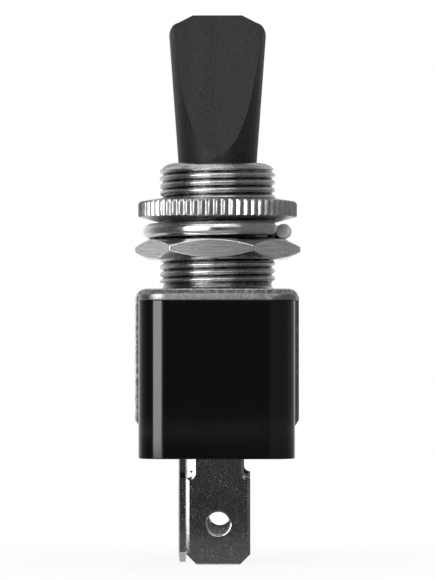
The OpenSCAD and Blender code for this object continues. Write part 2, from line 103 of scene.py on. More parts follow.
def factor(name, text, value, top=1.0):
    """A plain number between 0 and top."""
    return bpy.props.FloatProperty(name=name, description=text, default=value, min=0, max=top,
                                   precision=4, subtype="FACTOR")


def number(name, text, value):
    """A whole number."""
    return bpy.props.IntProperty(name=name, description=text, default=value, min=1)


def angle(name, text, degrees):
    """An angle property: the default is given in degrees and kept in radians."""
    return bpy.props.FloatProperty(name=name, description=text, default=math.radians(degrees),
                                   unit="ROTATION", subtype="ANGLE")


class ThreadSizes(bpy.types.PropertyGroup):
    """Sizes of the bushing's thread, rim and keyway."""
    pitch: length("Pitch", "Rise of the thread in one turn", 0.75)
    depth: length("Depth", "Depth of the thread from crest to root", 0.44)
    start: angle("Start", "Turn of the thread about the bushing", 0)
    low: length("Foot", "Height where the thread starts above the frame", 0.72)
    mouth_radius: length("Mouth radius", "Radius of the mouth around the lever", 4.8)
    bore_radius: length("Bore radius", "Radius of the bore under the pivot", 4.35)
    keyway_width: length("Keyway width", "Width of the keyway", 1.9)
    keyway_depth: length("Keyway depth", "Depth of the keyway below the crests", 0.7)
    pivot_height: length("Pivot height", "Height of the pivot pin above the frame", 10.3)
    pin_radius: length("Pin radius", "Radius of the pivot pin", 0.75)


class KnurlSizes(bpy.types.PropertyGroup):
    """Sizes of the knurled nut's teeth and cones."""
    teeth: number("Teeth", "Number of teeth around the nut", 64)
    depth: length("Depth", "Depth of the grooves between the teeth", 0.25)
    cone: length("Cone", "Rise of the cones above and below the toothed band", 0.5)
    edge: length("Edge", "Chamfer along the edges of the toothed band", 0.12)
    shoulder: length("Shoulder", "Width and height of the chamfer above the teeth", 0.2)


class WasherSizes(bpy.types.PropertyGroup):
    """Sizes of the split spring washer."""
    wire: length("Wire radius", "Radius of the washer's wire", 0.77)
    low_cut: angle("Low end", "Direction of the low end, from +X towards +Y", -10.5)
    high_cut: angle("High end", "Direction of the raised end, from +X towards +Y", -38.5)
    lift: length("Lift", "How much higher than its solid the raised end springs", 0.02)
    burr: length("Edge break", "Rounding of the cut ends", 0.06)


class TabSizes(bpy.types.PropertyGroup):
    """Sizes of the quick-connect terminals."""
    thickness: length("Thickness", "Thickness of the strip", 0.8)
    blade: length("Blade length", "Length of a blade below its shoulders", 8.57)
    neck: length("Neck width", "Width of the necks", 5.09)
    fillet: length("Fillet", "Radius between a neck and its shoulders", 0.6)
    hole: length("Hole radius", "Radius of the blades' holes", 1.14)
    hole_height: length("Hole height", "Distance from a blade's tip to the middle of its hole", 4.08)
    corner: length("Corner", "Corner cut at a blade's tip", 1.03)
    bevel: length("Bevel", "Width of the bevel along the edges", 0.30)
    bevel_depth: length("Bevel depth", "Depth of the bevel along the edges", 0.11)
    tip_bevel: length("Tip bevel", "Width of the bevel at the tip", 0.86)
    sink: length("Countersink", "Width of the countersink around the holes", 0.16)
    sideways: length("Offset", "Sideways place of the front and back terminals as assembled", 0.15)


class SpringSizes(bpy.types.PropertyGroup):
    """Sizes of the plunger's coil spring."""
    wire: length("Wire radius", "Radius of the spring's wire", 0.16)
    turns: number("Turns", "Turns of the spring", 7)
    stroke: length("Stroke", "How far the plunger closes the spring", 0.9)


class EdgeSizes(bpy.types.PropertyGroup):
    """Rounding of the edges of each kind of piece."""
    moulding: length("Moulding", "Edge radius of the moulded body", 0.12)
    lever: length("Lever", "Edge radius of the paddle", 0.14)
    sheet: length("Sheet", "Edge radius of the frame and cover sheets", 0.26)
    nut: length("Nut", "Edge radius of the back nut", 0.06)


class Finishes(bpy.types.PropertyGroup):
    """Base colours of the finishes."""
    nickel: colour("Nickel", "Bright plate of the bushing and the knurled nut", (0.58, 0.577, 0.57))
    nut: colour("Back nut", "Plate of the back nut", (0.60, 0.597, 0.585))
    wire: colour("Spring wire", "Drawn wire of the lock washer", (0.60, 0.597, 0.59))
    sheet: colour("Plated sheet", "Plate of the frame", (0.42, 0.418, 0.41))
    lip: colour("Sheared edge", "Cut edges of the cover sheet", (0.29, 0.288, 0.28))
    tin: colour("Tinned brass", "Tin on the terminals", (0.38, 0.378, 0.37))
    moulding: colour("Moulding", "Black moulded body", (0.0030, 0.0030, 0.0032))
    lever: colour("Lever", "Black nylon of the lever", (0.0075, 0.0076, 0.0080))
    brass: colour("Brass", "Saddle and rivet", (0.60, 0.42, 0.17))
    copper: colour("Copper", "Rocker", (0.62, 0.33, 0.19))
    silver: colour("Silver", "Contacts", (0.74, 0.73, 0.70))
    steel: colour("Steel", "Pivot pin and spring", (0.46, 0.46, 0.45))
    white_nylon: colour("White nylon", "Plunger", (0.72, 0.69, 0.60))
    fibre: colour("Fibre", "Insulating sheet", (0.16, 0.065, 0.035))


class StudioSizes(bpy.types.PropertyGroup):
    """Camera, lamps and cards."""
    lens: bpy.props.FloatProperty(name="Lens", description="Focal length", default=235, min=1,
                                  subtype="DISTANCE_CAMERA")
    distance: length("Distance", "Distance from the camera to the axis", 386)
    camera_height: bpy.props.FloatProperty(name="Camera height", description="Height of the camera",
                                           default=-5.14 * MM, unit="LENGTH", subtype="DISTANCE")
    camera_side: length("Camera offset", "Sideways place of the camera", 3)
    key_light: factor("Main softbox", "Radiance of the large softbox on the left", 3.9, 20)
    top_light: factor("Overhead softbox", "Radiance of the overhead softbox", 0.9, 20)
    back_light: factor("Rear softbox", "Radiance of the softbox behind", 0.8, 20)
    ambient: factor("Ambient", "Level of the room's light", 0.30, 5)


# ---------------------------------------------------------------- surfaces

def from_grid(name, points, closed_u=True, closed_v=True):
    """A mesh from a grid of points, counted i around u and j along v.

    Face (i, j) joins points (i, j), (i + 1, j), (i + 1, j + 1) and (i, j + 1); a closed direction wraps.
    """
    rows, columns = points.shape[:2]
    i, j = np.meshgrid(np.arange(rows if closed_u else rows - 1),
                       np.arange(columns if closed_v else columns - 1), indexing="ij")
    i2, j2 = (i + 1) % rows, (j + 1) % columns
    quads = np.stack([i * columns + j, i2 * columns + j, i2 * columns + j2, i * columns + j2], -1)
    mesh = bpy.data.meshes.new(name)
    mesh.from_pydata(points.reshape(-1, 3).tolist(), [], quads.reshape(-1, 4).tolist())
    mesh.validate()
    mesh.shade_smooth()
    piece = bpy.data.objects.new(name, mesh)
    bpy.context.scene.collection.objects.link(piece)
    return piece


def merged(piece, flat=0.0):
    """Joins coincident points, drops faces without area, and turns the faces outwards.

    Faces that meet flatter than the angle flat become one.
    """
    work = bmesh.new()
    work.from_mesh(piece.data)
    bmesh.ops.remove_doubles(work, verts=work.verts, dist=WELD)
    bmesh.ops.dissolve_degenerate(work, dist=WELD, edges=work.edges)
    if flat > 0:
        bmesh.ops.dissolve_limit(work, angle_limit=flat, verts=work.verts, edges=work.edges)
    bmesh.ops.recalc_face_normals(work, faces=work.faces)
    work.to_mesh(piece.data)
    work.free()
    piece.data.update()
    return piece


def plain_copy(node, name):
    """Copy of a CAD node's points and triangles, without its stored normals."""
    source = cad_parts[node].data
    points = np.zeros(len(source.vertices) * 3)
    source.vertices.foreach_get("co", points)
    corners = np.zeros(len(source.loops), int)
    source.loops.foreach_get("vertex_index", corners)
    mesh = bpy.data.meshes.new(name)
    mesh.from_pydata(points.reshape(-1, 3).tolist(), [], corners.reshape(-1, 3).tolist())
    return mesh


def softened(node, name, radius, sharp, segments=2):
    """A merged copy of a CAD node whose edges sharper than an angle, in degrees, get a small round.

    Its normals are weighted by the size of the faces, so that a flat face shades flat up to its rounds.
    """
    piece = bpy.data.objects.new(name, plain_copy(node, name))
    bpy.context.scene.collection.objects.link(piece)
    merged(piece, flat=math.radians(0.6))
    piece.data.shade_smooth()
    bevel = piece.modifiers.new("Edges", "BEVEL")
    bevel.width = radius
    bevel.segments = segments
    bevel.limit_method = "ANGLE"
    bevel.angle_limit = math.radians(sharp)
    bevel.use_clamp_overlap = True
    bevel.miter_outer = "MITER_ARC"
    normals = piece.modifiers.new("Normals", "WEIGHTED_NORMAL")
    normals.keep_sharp = True
    return piece


def from_tube(name, radius, half_length, z):
    """A closed cylinder along X at a height: rings of cos and sin, with both ends drawn in to a pole."""
    turn = np.linspace(0, 2 * math.pi, 48, endpoint=False)[:, None]
    r = radius * np.array([0, 1, 1, 0])[None, :]
    place = np.array([-1, -1, 1, 1]) * half_length
    y, z = r * np.cos(turn), z + r * np.sin(turn)
    points = np.stack([np.broadcast_to(place, y.shape), y, z], -1)
    return merged(from_grid(name, points, True, False))


def apply_modifiers(piece):
    """Replaces a piece's mesh by what its modifiers make of it."""
    graph = bpy.context.evaluated_depsgraph_get()
    mesh = bpy.data.meshes.new_from_object(piece.evaluated_get(graph))
    piece.modifiers.clear()
    piece.data = mesh


def joined(pieces):
    """One object with the meshes of several: the first keeps its name."""
    work = bmesh.new()
    for piece in pieces:
        work.from_mesh(piece.data)
    work.to_mesh(pieces[0].data)
    work.free()
    for piece in pieces[1:]:
        bpy.data.objects.remove(piece)
    pieces[0].data.shade_smooth()
    return pieces[0]


def stands_for(piece, node, body, finish):
    """Gives a piece its finish, its body and the CAD node that it stands for."""
    piece.data.materials.clear()
    piece.data.materials.append(finish)
    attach(piece, body)
    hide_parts(node)


# ---------------------------------------------------------------- finishes

def math_node(tree, kind, first, second=None):
    """A math node on one or two values, each a number or a socket."""
    node = tree.nodes.new("ShaderNodeMath")
    node.operation = kind
    for socket, value in zip(node.inputs, (first, second)):
        if isinstance(value, (int, float)):
            socket.default_value = value
        elif value is not None:
            tree.links.new(value, socket)
    return node.outputs["Value"]


def mixed_shaders(tree, amount, first, second):
    """Mix of two shaders: an amount of 0 gives the first."""
    node = tree.nodes.new("ShaderNodeMixShader")
    for socket, value in zip(node.inputs, (amount, first, second)):
        tree.links.new(value, socket)
    return node.outputs[0]


def plain_source(tree, kind, grey, strength=None):
    """The output of a background, emission or diffuse node of one grey."""
    node = tree.nodes.new("ShaderNode" + kind)
    node.inputs["Color"].default_value = (grey, grey, grey, 1)
    if strength is not None:
        node.inputs["Strength"].default_value = strength
    return node.outputs[0]


def emptied(holder):
    """The node tree of a material or a world, cleared."""
    holder.use_nodes = True
    holder.node_tree.nodes.clear()
    return holder.node_tree


class Shader:
    """A node tree under construction: one Principled shader and the textures that feed it."""

    def __init__(self, name, base, roughness, metallic=0.0, **sockets):
        self.material = bpy.data.materials.new(name)
        self.material.use_nodes = True
        self.tree = self.material.node_tree
        self.bsdf = self.tree.nodes["Principled BSDF"]
        self.set("Base Color", (*base, 1))
        self.set("Roughness", roughness)
        self.set("Metallic", metallic)
        for socket, value in sockets.items():
            self.set(socket.replace("_", " "), value)
        self.coordinates = self.tree.nodes.new("ShaderNodeTexCoord")
        self.height = None

    def set(self, socket, value):
        """Sets a socket of the Principled shader to a constant."""
        self.bsdf.inputs[socket].default_value = value

    def link(self, output, socket):
        """Feeds a socket of the Principled shader."""
        self.tree.links.new(output, self.bsdf.inputs[socket])

    def place(self, scale=(1, 1, 1)):
        """Object coordinates in millimetres, stretched."""
        mapping = self.tree.nodes.new("ShaderNodeMapping")
        mapping.inputs["Scale"].default_value = [s / MM for s in scale]
        self.tree.links.new(self.coordinates.outputs["Object"], mapping.inputs["Vector"])
        return mapping.outputs["Vector"]

    def noise(self, per_mm, detail=3.0, rough=0.55, vector=None, distortion=0.0):
        """Noise with so many features in a millimetre."""
        node = self.tree.nodes.new("ShaderNodeTexNoise")
        node.inputs["Scale"].default_value = per_mm
        node.inputs["Detail"].default_value = detail
        node.inputs["Roughness"].default_value = rough
        node.inputs["Distortion"].default_value = distortion
        self.tree.links.new(vector or self.place(), node.inputs["Vector"])
        return node.outputs["Fac"]

    def specks(self, per_mm, size, vector=None):
        """Small round specks: 1 inside a cell's core and 0 outside."""
        node = self.tree.nodes.new("ShaderNodeTexVoronoi")
        node.inputs["Scale"].default_value = per_mm
        self.tree.links.new(vector or self.place(), node.inputs["Vector"])
        return self.ramp(node.outputs["Distance"], [(size * 0.6, 1), (size, 0)])

    def ramp(self, value, stops):
        """A colour ramp with stops (place, grey or colour)."""
        node = self.tree.nodes.new("ShaderNodeValToRGB")
        points = node.color_ramp.elements
        while len(points) < len(stops):
            points.new(0.5)
        for point, (place, tone) in zip(points, stops):
            point.position = place
            point.color = (*tone, 1) if isinstance(tone, tuple) else (tone, tone, tone, 1)
        self.tree.links.new(value, node.inputs["Fac"])
        return node.outputs["Color"]

    def math(self, kind, first, second=None):
        """A math node in this tree."""
        return math_node(self.tree, kind, first, second)

    def mix(self, amount, first, second):
        """Blend of two colours, each a socket or a tuple, by the output that gives the amount."""
        node = self.tree.nodes.new("ShaderNodeMix")
        node.data_type = "RGBA"
        # sockets 6 and 7 are the two colours, and output 2 is the blend
        for socket, value in ((node.inputs["Factor"], amount), (node.inputs[6], first),
                              (node.inputs[7], second)):
            if isinstance(value, tuple):
                socket.default_value = (*value, 1)
            else:
                self.tree.links.new(value, socket)
        return node.outputs[2]

    def bump(self, height, microns):
        """Adds relief: a height of 1 stands so many microns proud."""
        node = self.tree.nodes.new("ShaderNodeBump")
        node.inputs["Distance"].default_value = microns * 1e-6
        node.inputs["Strength"].default_value = 1
        self.tree.links.new(height, node.inputs["Height"])
        if self.height is not None:
            self.tree.links.new(self.height, node.inputs["Normal"])
        self.height = node.outputs["Normal"]
        self.link(self.height, "Normal")

    def separate(self, vector):
        """The three parts of a vector."""
        node = self.tree.nodes.new("ShaderNodeSeparateXYZ")
        self.tree.links.new(vector, node.inputs[0])
        return node.outputs

    def radius(self):
        """Distance from the switch's axis, in millimetres."""
        x, y, _ = self.separate(self.place())
        squares = [self.math("MULTIPLY", part, part) for part in (x, y)]
        return self.math("SQRT", self.math("ADD", *squares))

    def upright(self):
        """How much a face stands upright: 1 on a wall and 0 on a flat top, from the object's normals."""
        _, _, z = self.separate(self.coordinates.outputs["Normal"])
        return self.math("SUBTRACT", 1.0, self.math("ABSOLUTE", z))


def scaled(rgb, gain):
    """A colour made darker or lighter."""
    return tuple(min(1.0, c * gain) for c in rgb)


def nickel_finish(base, crest, depth, high):
    """Bright nickel: cloudy tone, soft turning marks, and painted shade deep in the thread's roots.

    The thread is where the surface lies between the root and the crest, below its chamfered top.
    """
    s = Shader("Nickel plate", base, 0.2, 1.0)
    cloud = s.noise(1.1, 4)
    clean = s.ramp(cloud, [(0.3, scaled(base, 0.84)), (0.7, scaled(base, 1.08))])
    # small dull stains, thickest where the plate is cloudy
    stains = s.ramp(s.noise(4.2, 4, 0.7), [(0.40, 0.6), (0.52, 0.0)])
    tone = s.mix(stains, clean, scaled(base, 0.5))
    below = s.math("DIVIDE", s.math("SUBTRACT", crest, s.radius()), depth)
    root = s.math("MULTIPLY", s.ramp(below, [(0.55, 0.0), (0.92, 1.0)]),
                  s.math("LESS_THAN", below, 1.08))
    _, _, z = s.separate(s.place())
    root = s.math("MULTIPLY", root, s.math("LESS_THAN", z, high))
    # painted shade: the thread's roots are darkened to a tenth of the plate, in patches
    root_shade = s.math("MULTIPLY", root, s.ramp(s.noise(2.4, 3), [(0.3, 0.75), (0.65, 1.0)]))
    s.link(s.mix(root_shade, tone, scaled(base, 0.10)), "Base Color")
    s.link(s.ramp(s.noise(1.8, 5), [(0.3, 0.16), (0.72, 0.30)]), "Roughness")
    s.bump(s.noise(1.6, 4, vector=s.place((0.4, 0.4, 5))), 0.9)
    s.bump(s.noise(6, 4, 0.65), 1.6)
    return s.material


def knurl_finish(base):
    """Bright nickel on cut teeth: uneven tone and gloss from tooth to tooth, and nicked crests."""
    s = Shader("Nickel plate, knurled", base, 0.22, 1.0)
    cloud = s.noise(0.9, 5, 0.65)
    s.link(s.ramp(cloud, [(0.3, scaled(base, 0.55)), (0.7, scaled(base, 1.0))]), "Base Color")
    s.link(s.ramp(s.noise(1.5, 5), [(0.3, 0.24), (0.72, 0.42)]), "Roughness")
    s.bump(s.noise(2.2, 5, vector=s.place((1, 1, 0.5))), 3)
    s.bump(s.noise(7, 4), 0.8)
    return s.material


def back_nut_finish(base):
    """Nut plate: level cutting marks that spread its gloss up and down, and small bright nicks."""
    s = Shader("Back nut plate", base, 0.26, 1.0)
    cloud = s.noise(1.3, 4, 0.7, s.place((0.3, 0.3, 4.5)), 0.3)
    tone = s.ramp(cloud, [(0.32, scaled(base, 0.66)), (0.5, base), (0.68, scaled(base, 1.22))])
    where = s.ramp(s.noise(0.8, 2), [(0.46, 0.0), (0.58, 1.0)])
    nicks = s.math("MULTIPLY", s.specks(3.4, 0.22), where)
    s.link(s.mix(nicks, tone, scaled(base, 1.6)), "Base Color")
    s.link(s.ramp(cloud, [(0.3, 0.13), (0.7, 0.08)]), "Roughness")
    s.bump(s.noise(1.0, 4, 0.7, s.place((0.12, 0.12, 7))), 3.5)
    s.bump(s.noise(6, 3), 0.2)
    return s.material


def wire_finish(base):
    """Drawn spring wire: smooth, with faint marks along the wire."""
    s = Shader("Drawn spring wire", base, 0.16, 1.0)
    s.link(s.ramp(s.noise(0.9, 4), [(0.3, scaled(base, 0.85)), (0.7, scaled(base, 1.1))]), "Base Color")
    s.link(s.ramp(s.noise(1.7, 5), [(0.35, 0.12), (0.7, 0.26)]), "Roughness")
    s.bump(s.noise(1.5, 3, vector=s.place((0.5, 0.5, 6))), 0.8)
    return s.material


def cut_wire_finish(base):
    """Sawn end of the spring wire: matte, with fine level marks, its colour lifted above the wire's as
    painted light.
    """
    s = Shader("Cut spring wire", base, 0.6, 1.0)
    marks = s.noise(1.6, 4, 0.6, s.place((0.6, 0.6, 4)))
    # painted light: the cut end's colour is 1.05 to 1.45 times the wire's, standing in for light that the
    # raised end keeps off it
    s.link(s.ramp(marks, [(0.3, scaled(base, 1.05)), (0.7, scaled(base, 1.45))]), "Base Color")
    s.bump(marks, 5)
    return s.material


def sheet_finish(base):
    """Plated sheet: fine grain and a soft gloss, with faint drawing marks."""
    s = Shader("Plated sheet", base, 0.24, 1.0)
    grain = s.noise(3.4, 5, 0.65)
    tone = s.ramp(grain, [(0.34, scaled(base, 0.6)), (0.52, base), (0.68, scaled(base, 1.3))])
    s.link(tone, "Base Color")
    s.link(s.ramp(s.noise(2.1, 4), [(0.3, 0.16), (0.7, 0.30)]), "Roughness")
    s.bump(s.noise(2.4, 4, 0.6, s.place((1.2, 1.2, 0.7))), 0.9)
    s.bump(grain, 0.4)
    return s.material


def sheared_finish(base, lip):
    """Plated sheet whose upright cut edges are torn and matte, with marks down the cut."""
    s = Shader("Plated sheet, sheared", base, 0.42, 1.0)
    grain = s.noise(4.2, 5, 0.7, s.place((1, 1, 0.7)))
    flat = s.ramp(grain, [(0.3, scaled(base, 0.74)), (0.52, base), (0.75, scaled(base, 1.25))])
    torn = s.ramp(grain, [(0.28, scaled(lip, 0.62)), (0.5, lip), (0.72, scaled(lip, 1.35))])
    s.link(s.mix(s.upright(), flat, torn), "Base Color")
    s.link(s.ramp(s.noise(2.6, 4), [(0.3, 0.26), (0.7, 0.44)]), "Roughness")
    shear = s.noise(2.4, 5, 0.7, s.place((1.8, 1.8, 0.5)))
    s.bump(s.math("MULTIPLY", shear, s.upright()), 16)
    s.bump(grain, 6)
    return s.material


def tin_finish(base):
    """Tinned brass: a close gloss, mottled tone, fine light specks and faint smears along the blade."""
    s = Shader("Tinned brass", base, 0.22, 1.0)
    mottle = s.noise(4.6, 3, 0.7)
    tone = s.ramp(mottle, [(0.36, scaled(base, 0.78)), (0.52, base), (0.66, scaled(base, 1.3))])
    where = s.ramp(s.noise(0.7, 3), [(0.34, 0.0), (0.60, 1.0)])
    specks = s.math("MULTIPLY", s.specks(5.4, 0.22), where)
    s.link(s.mix(specks, tone, scaled(base, 1.6)), "Base Color")
    gloss = s.ramp(mottle, [(0.3, 0.09), (0.7, 0.14)])
    s.link(s.mix(specks, gloss, (0.36, 0.36, 0.36)), "Roughness")
    s.bump(s.noise(1.2, 4, vector=s.place((2.0, 2.0, 0.5))), 0.35)
    s.bump(s.noise(4.5, 3, 0.6), 0.15)
    return s.material


def moulding_finish(base):
    """Glossy thermoset moulding: a little orange peel, faint smears and dust."""
    s = Shader("Black moulding", base, 0.05, 0.0, IOR=1.48)
    where = s.ramp(s.noise(0.6, 2), [(0.45, 0.0), (0.6, 1.0)])
    dust = s.math("MULTIPLY", s.specks(1.9, 0.05), where)
    s.link(s.mix(dust, base, (0.05, 0.05, 0.05)), "Base Color")
    s.link(s.ramp(s.noise(0.5, 5), [(0.3, 0.04), (0.75, 0.075)]), "Roughness")
    s.bump(s.noise(2.2, 3), 0.12)
    return s.material


def lever_finish(base):
    """Black nylon: fine matte grain and faint upright flow bands."""
    s = Shader("Black nylon", base, 0.52, 0.0, IOR=1.38)
    bands = s.noise(0.34, 3, 0.6, s.place((1, 1, 0.05)))
    tone = s.ramp(bands, [(0.42, scaled(base, 0.25)), (0.52, scaled(base, 0.85)),
                          (0.62, scaled(base, 1.3))])
    grain = s.noise(4.6, 2, 0.7, s.place((0.9, 0.9, 1.1)))
    peaks = s.ramp(grain, [(0.46, 0.0), (0.64, 1.0)])
    s.link(s.mix(peaks, tone, scaled(base, 3.4)), "Base Color")
    s.link(s.ramp(grain, [(0.35, 0.40), (0.65, 0.66)]), "Roughness")
    s.bump(grain, 45)
    return s.material


def plain_metal(name, base, roughness):
    """A hidden metal piece: cloudy tone, uneven gloss and a fine grain."""
    s = Shader(name, base, roughness, 1.0)
    cloud = s.noise(2.0, 4)
    s.link(s.ramp(cloud, [(0.3, scaled(base, 0.8)), (0.7, scaled(base, 1.12))]), "Base Color")
    s.link(s.ramp(cloud, [(0.3, roughness * 0.8), (0.7, roughness * 1.3)]), "Roughness")
    s.bump(s.noise(8, 4), 2)
    return s.material


def plain_plastic(name, base, roughness):
    """A hidden moulded or fibre piece: slight mottle and grain."""
    s = Shader(name, base, roughness)
    s.link(s.ramp(s.noise(1.8, 4), [(0.3, scaled(base, 0.85)), (0.7, scaled(base, 1.1))]), "Base Color")
    s.bump(s.noise(6, 4), 8)
    return s.material


# ---------------------------------------------------------------- pieces

def bushing_section(t, top, cover_low, flange_r, flange_top, crest_r):
    """Stations from the bore's foot, up the bore, over the rim and down the thread to the flange.

    Gives each station's radius and height, and the most that a crest may reach there. A station of the
    thread has no radius of its own (nan), and the chamfer cone over the first threads limits its crests.
    """
    bore_r, mouth_r, pivot = t.bore_radius, t.mouth_radius, t.pivot_height
    foot_r, ledge_r = bore_r + 0.6 * MM, bore_r - 0.35 * MM
    foot_top, bore_low = 2 * MM, 4 * MM
    inner = [(foot_r, cover_low), (foot_r, foot_top), (bore_r, bore_low),
             (bore_r, pivot - 1.7 * MM), (ledge_r, pivot - 0.9 * MM), (ledge_r, pivot - 0.2 * MM),
             (mouth_r - 0.05 * MM, top - 0.14 * MM), (mouth_r, top - 0.04 * MM),
             (mouth_r + 0.04 * MM, top)]
    chamfer_in, chamfer_down, chamfer_slope = 0.38 * MM, 0.32 * MM, 0.9
    rim = [(mouth_r + 0.1 * MM, top), (mouth_r + 0.2 * MM, top - 0.03 * MM),
           (crest_r - 0.5 * MM, top - 0.22 * MM), (crest_r - chamfer_in, top - chamfer_down)]

    stations_per_turn, thread_down = 18, 0.34 * MM
    steps = int(round((top - chamfer_down - t.low) / t.pitch * stations_per_turn))
    z = np.linspace(top - thread_down, t.low, steps)
    chamfer = crest_r - chamfer_in + (top - chamfer_down - z) * chamfer_slope

    # the neck flares as a quarter ellipse, upright at the thread and level at the frame
    root_r, neck_r = crest_r - t.depth, crest_r + 0.055 * MM
    neck_high, neck_drop = 0.64 * MM, 0.62 * MM
    bend = np.radians(np.linspace(0, 80, 9))
    neck = list(zip(root_r + (neck_r - root_r) * (1 - np.cos(bend)),
                    neck_high - neck_drop * np.sin(bend)))
    edge = 0.05 * MM
    neck += [(neck_r, 0.02 * MM), (neck_r, flange_top), (flange_r - edge, flange_top),
             (flange_r, flange_top - edge), (flange_r, cover_low + edge), (flange_r - edge, cover_low)]

    above, below = np.array(inner + rim), np.array(neck)
    radius = np.concatenate([above[:, 0], np.full(len(z), np.nan), below[:, 0]])
    height = np.concatenate([above[:, 1], z, below[:, 1]])
    limit = np.full(len(radius), np.inf)
    limit[np.isnan(radius)] = np.minimum(chamfer, crest_r)
    return radius, height, limit


def threaded_bushing(t, section, crest_r):
    """The section turned round the axis, with a rolled thread and a keyway at the back.

    The thread has round crests and sharp roots: its depth at a point is the full depth times
    1 - |cos(pi (height / pitch - turns))|, with turns counted from the thread's start. Columns stand at
    even angles outside the keyway and at one x each across it, where y is at most the keyway's floor.
    """
    radius, height, limit = section
    half = t.keyway_width / 2
    edge = math.asin((half + 0.05 * MM) / crest_r)
    theta = np.linspace(math.pi / 2 + edge, math.pi / 2 + 2 * math.pi - edge, 200)
    across = np.array([half, half, half / 2, 0, -half / 2, -half, -half])
    cut = np.array([False, True, True, True, True, True, False])
    slot_angle = np.arctan2(np.sqrt(crest_r ** 2 - across ** 2), across) + 2 * math.pi
    turn = np.concatenate([theta, slot_angle])[:, None]

    # the share of a turn that sets the crests' heights below the rim
    crest_phase = 0.533
    phase = height[None, :] / t.pitch - (turn - t.start) / (2 * math.pi) - crest_phase
    wave = 1 - np.abs(np.cos(math.pi * phase))
    thread = crest_r - t.depth * wave
    r = np.where(np.isnan(radius)[None, :], np.minimum(thread, limit[None, :]), radius[None, :])
    x = r * np.cos(turn)
    y = r * np.sin(turn)
    n = len(theta)
    x[n:] = across[:, None]
    y[n:] = np.sqrt(r[n:] ** 2 - across[:, None] ** 2)
    keyway_floor, keyway_low = crest_r - t.keyway_depth, 0.95 * MM
    keyed = cut[:, None] & (height > keyway_low)[None, :]
    y[n:] = np.where(keyed, np.minimum(y[n:], keyway_floor), y[n:])
    return np.stack([x, y, np.broadcast_to(height, r.shape)], -1)


class SWITCH_OT_bushing(bpy.types.Operator):
    """Threaded bushing with its rim, keyway, neck and flange."""
    bl_idname = "switch.bushing"
    bl_label = "Threaded bushing"

    def execute(self, context):
        t = context.scene.switch_thread
        low, high = (np.array(c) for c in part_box("bushing"))
        top = high[2]
        flange_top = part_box("cover_plate")[1][2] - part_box("mounting_frame")[1][2]
        crest_r = float(-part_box("knurled_nut")[0][0]) - NUT_WALL - THREAD_PLAY
        section = bushing_section(t, top, low[2], high[0], flange_top, crest_r)
        piece = merged(from_grid("bushing_threaded", threaded_bushing(t, section, crest_r)))
        piece.data.set_sharp_from_angle(angle=math.radians(60))

        # holes for the pivot pin, one on each side, drilled from past the crests
        pin_fit, half_drill = 0.02 * MM, 8 * MM
        drill = from_tube("pin_drill", t.pin_radius + pin_fit, half_drill, t.pivot_height)
        hole = piece.modifiers.new("Pin holes", "BOOLEAN")
        hole.operation = "DIFFERENCE"
        hole.solver = "EXACT"
        hole.object = drill
        apply_modifiers(piece)
        bpy.data.objects.remove(drill)
        base = tuple(context.scene.switch_finishes.nickel)
        # the painted shade in the thread's roots ends under its chamfered top
        finish = nickel_finish(base, crest_r / MM, t.depth / MM, (top - 0.9 * MM) / MM)
        stands_for(piece, "bushing", "switch_body", finish)
        return {"FINISHED"}


class SWITCH_OT_knurled_nut(bpy.types.Operator):
    """Thin nut with cut teeth and a cone above and below them."""
    bl_idname = "switch.knurled_nut"
    bl_label = "Knurled nut"

    def execute(self, context):
        k = context.scene.switch_knurl
        low, high = (np.array(c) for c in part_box("knurled_nut"))
        outer, low_z, high_z = high[0], low[2], high[2]
        band_low, band_high = low_z + k.cone, high_z - k.cone
        bore = outer - NUT_WALL
        land = bore + 0.15 * MM
        edge = k.edge
        # shares of each cone's run, from its land out to the teeth
        share = np.linspace(0, 1, 9)[1:]
        cone_r = land + (outer - edge - land) * share
        # above the teeth a flatter cone, then a steeper chamfer down to the crests
        shoulder = (outer - k.shoulder, band_high + k.shoulder)
        section = [(bore, high_z - 0.3 * MM), (bore + 0.06 * MM, high_z - 0.05 * MM), (land, high_z)]
        section += [(land + (shoulder[0] - land) * q, high_z + (shoulder[1] - high_z) * q)
                    for q in share]
        section += [(outer - edge * 0.35, band_high + edge * 0.3), (outer, band_high - edge * 0.3)]
        section += [(outer, band_low + edge), (outer - edge * 0.35, band_low + edge * 0.35)]
        section += [(r, low_z + k.cone * q) for r, q in zip(cone_r[::-1], share[::-1])]
        section += [(land, low_z), (bore + 0.06 * MM, low_z + 0.05 * MM), (bore, low_z + 0.3 * MM)]
        radius, height = np.array(section).T

        # tooth outline: a triangle wave between root and crest, cut flat at both and a little rounded
        per_tooth, root_flat, flank, softness = 14, 0.07, 0.82, 0.2
        turn = np.linspace(0, 2 * math.pi, k.teeth * per_tooth, endpoint=False)
        wave = np.abs(((turn / (2 * math.pi) * k.teeth) % 1.0) * 2 - 1)
        wave = np.clip((wave - root_flat) / flank, 0, 1)
        wave = wave * (1 - softness) + (0.5 - 0.5 * np.cos(math.pi * wave)) * softness
        outline = outer - k.depth * (1 - wave)
        r = np.minimum(radius[None, :], outline[:, None])
        points = np.stack([r * np.cos(turn)[:, None], r * np.sin(turn)[:, None],
                           np.broadcast_to(height, r.shape)], -1)
        piece = merged(from_grid("knurled_nut_toothed", points))
        piece.data.set_sharp_from_angle(angle=math.radians(38))
        f = context.scene.switch_finishes
        stands_for(piece, "knurled_nut", "face_nut", knurl_finish(tuple(f.nickel)))
        return {"FINISHED"}


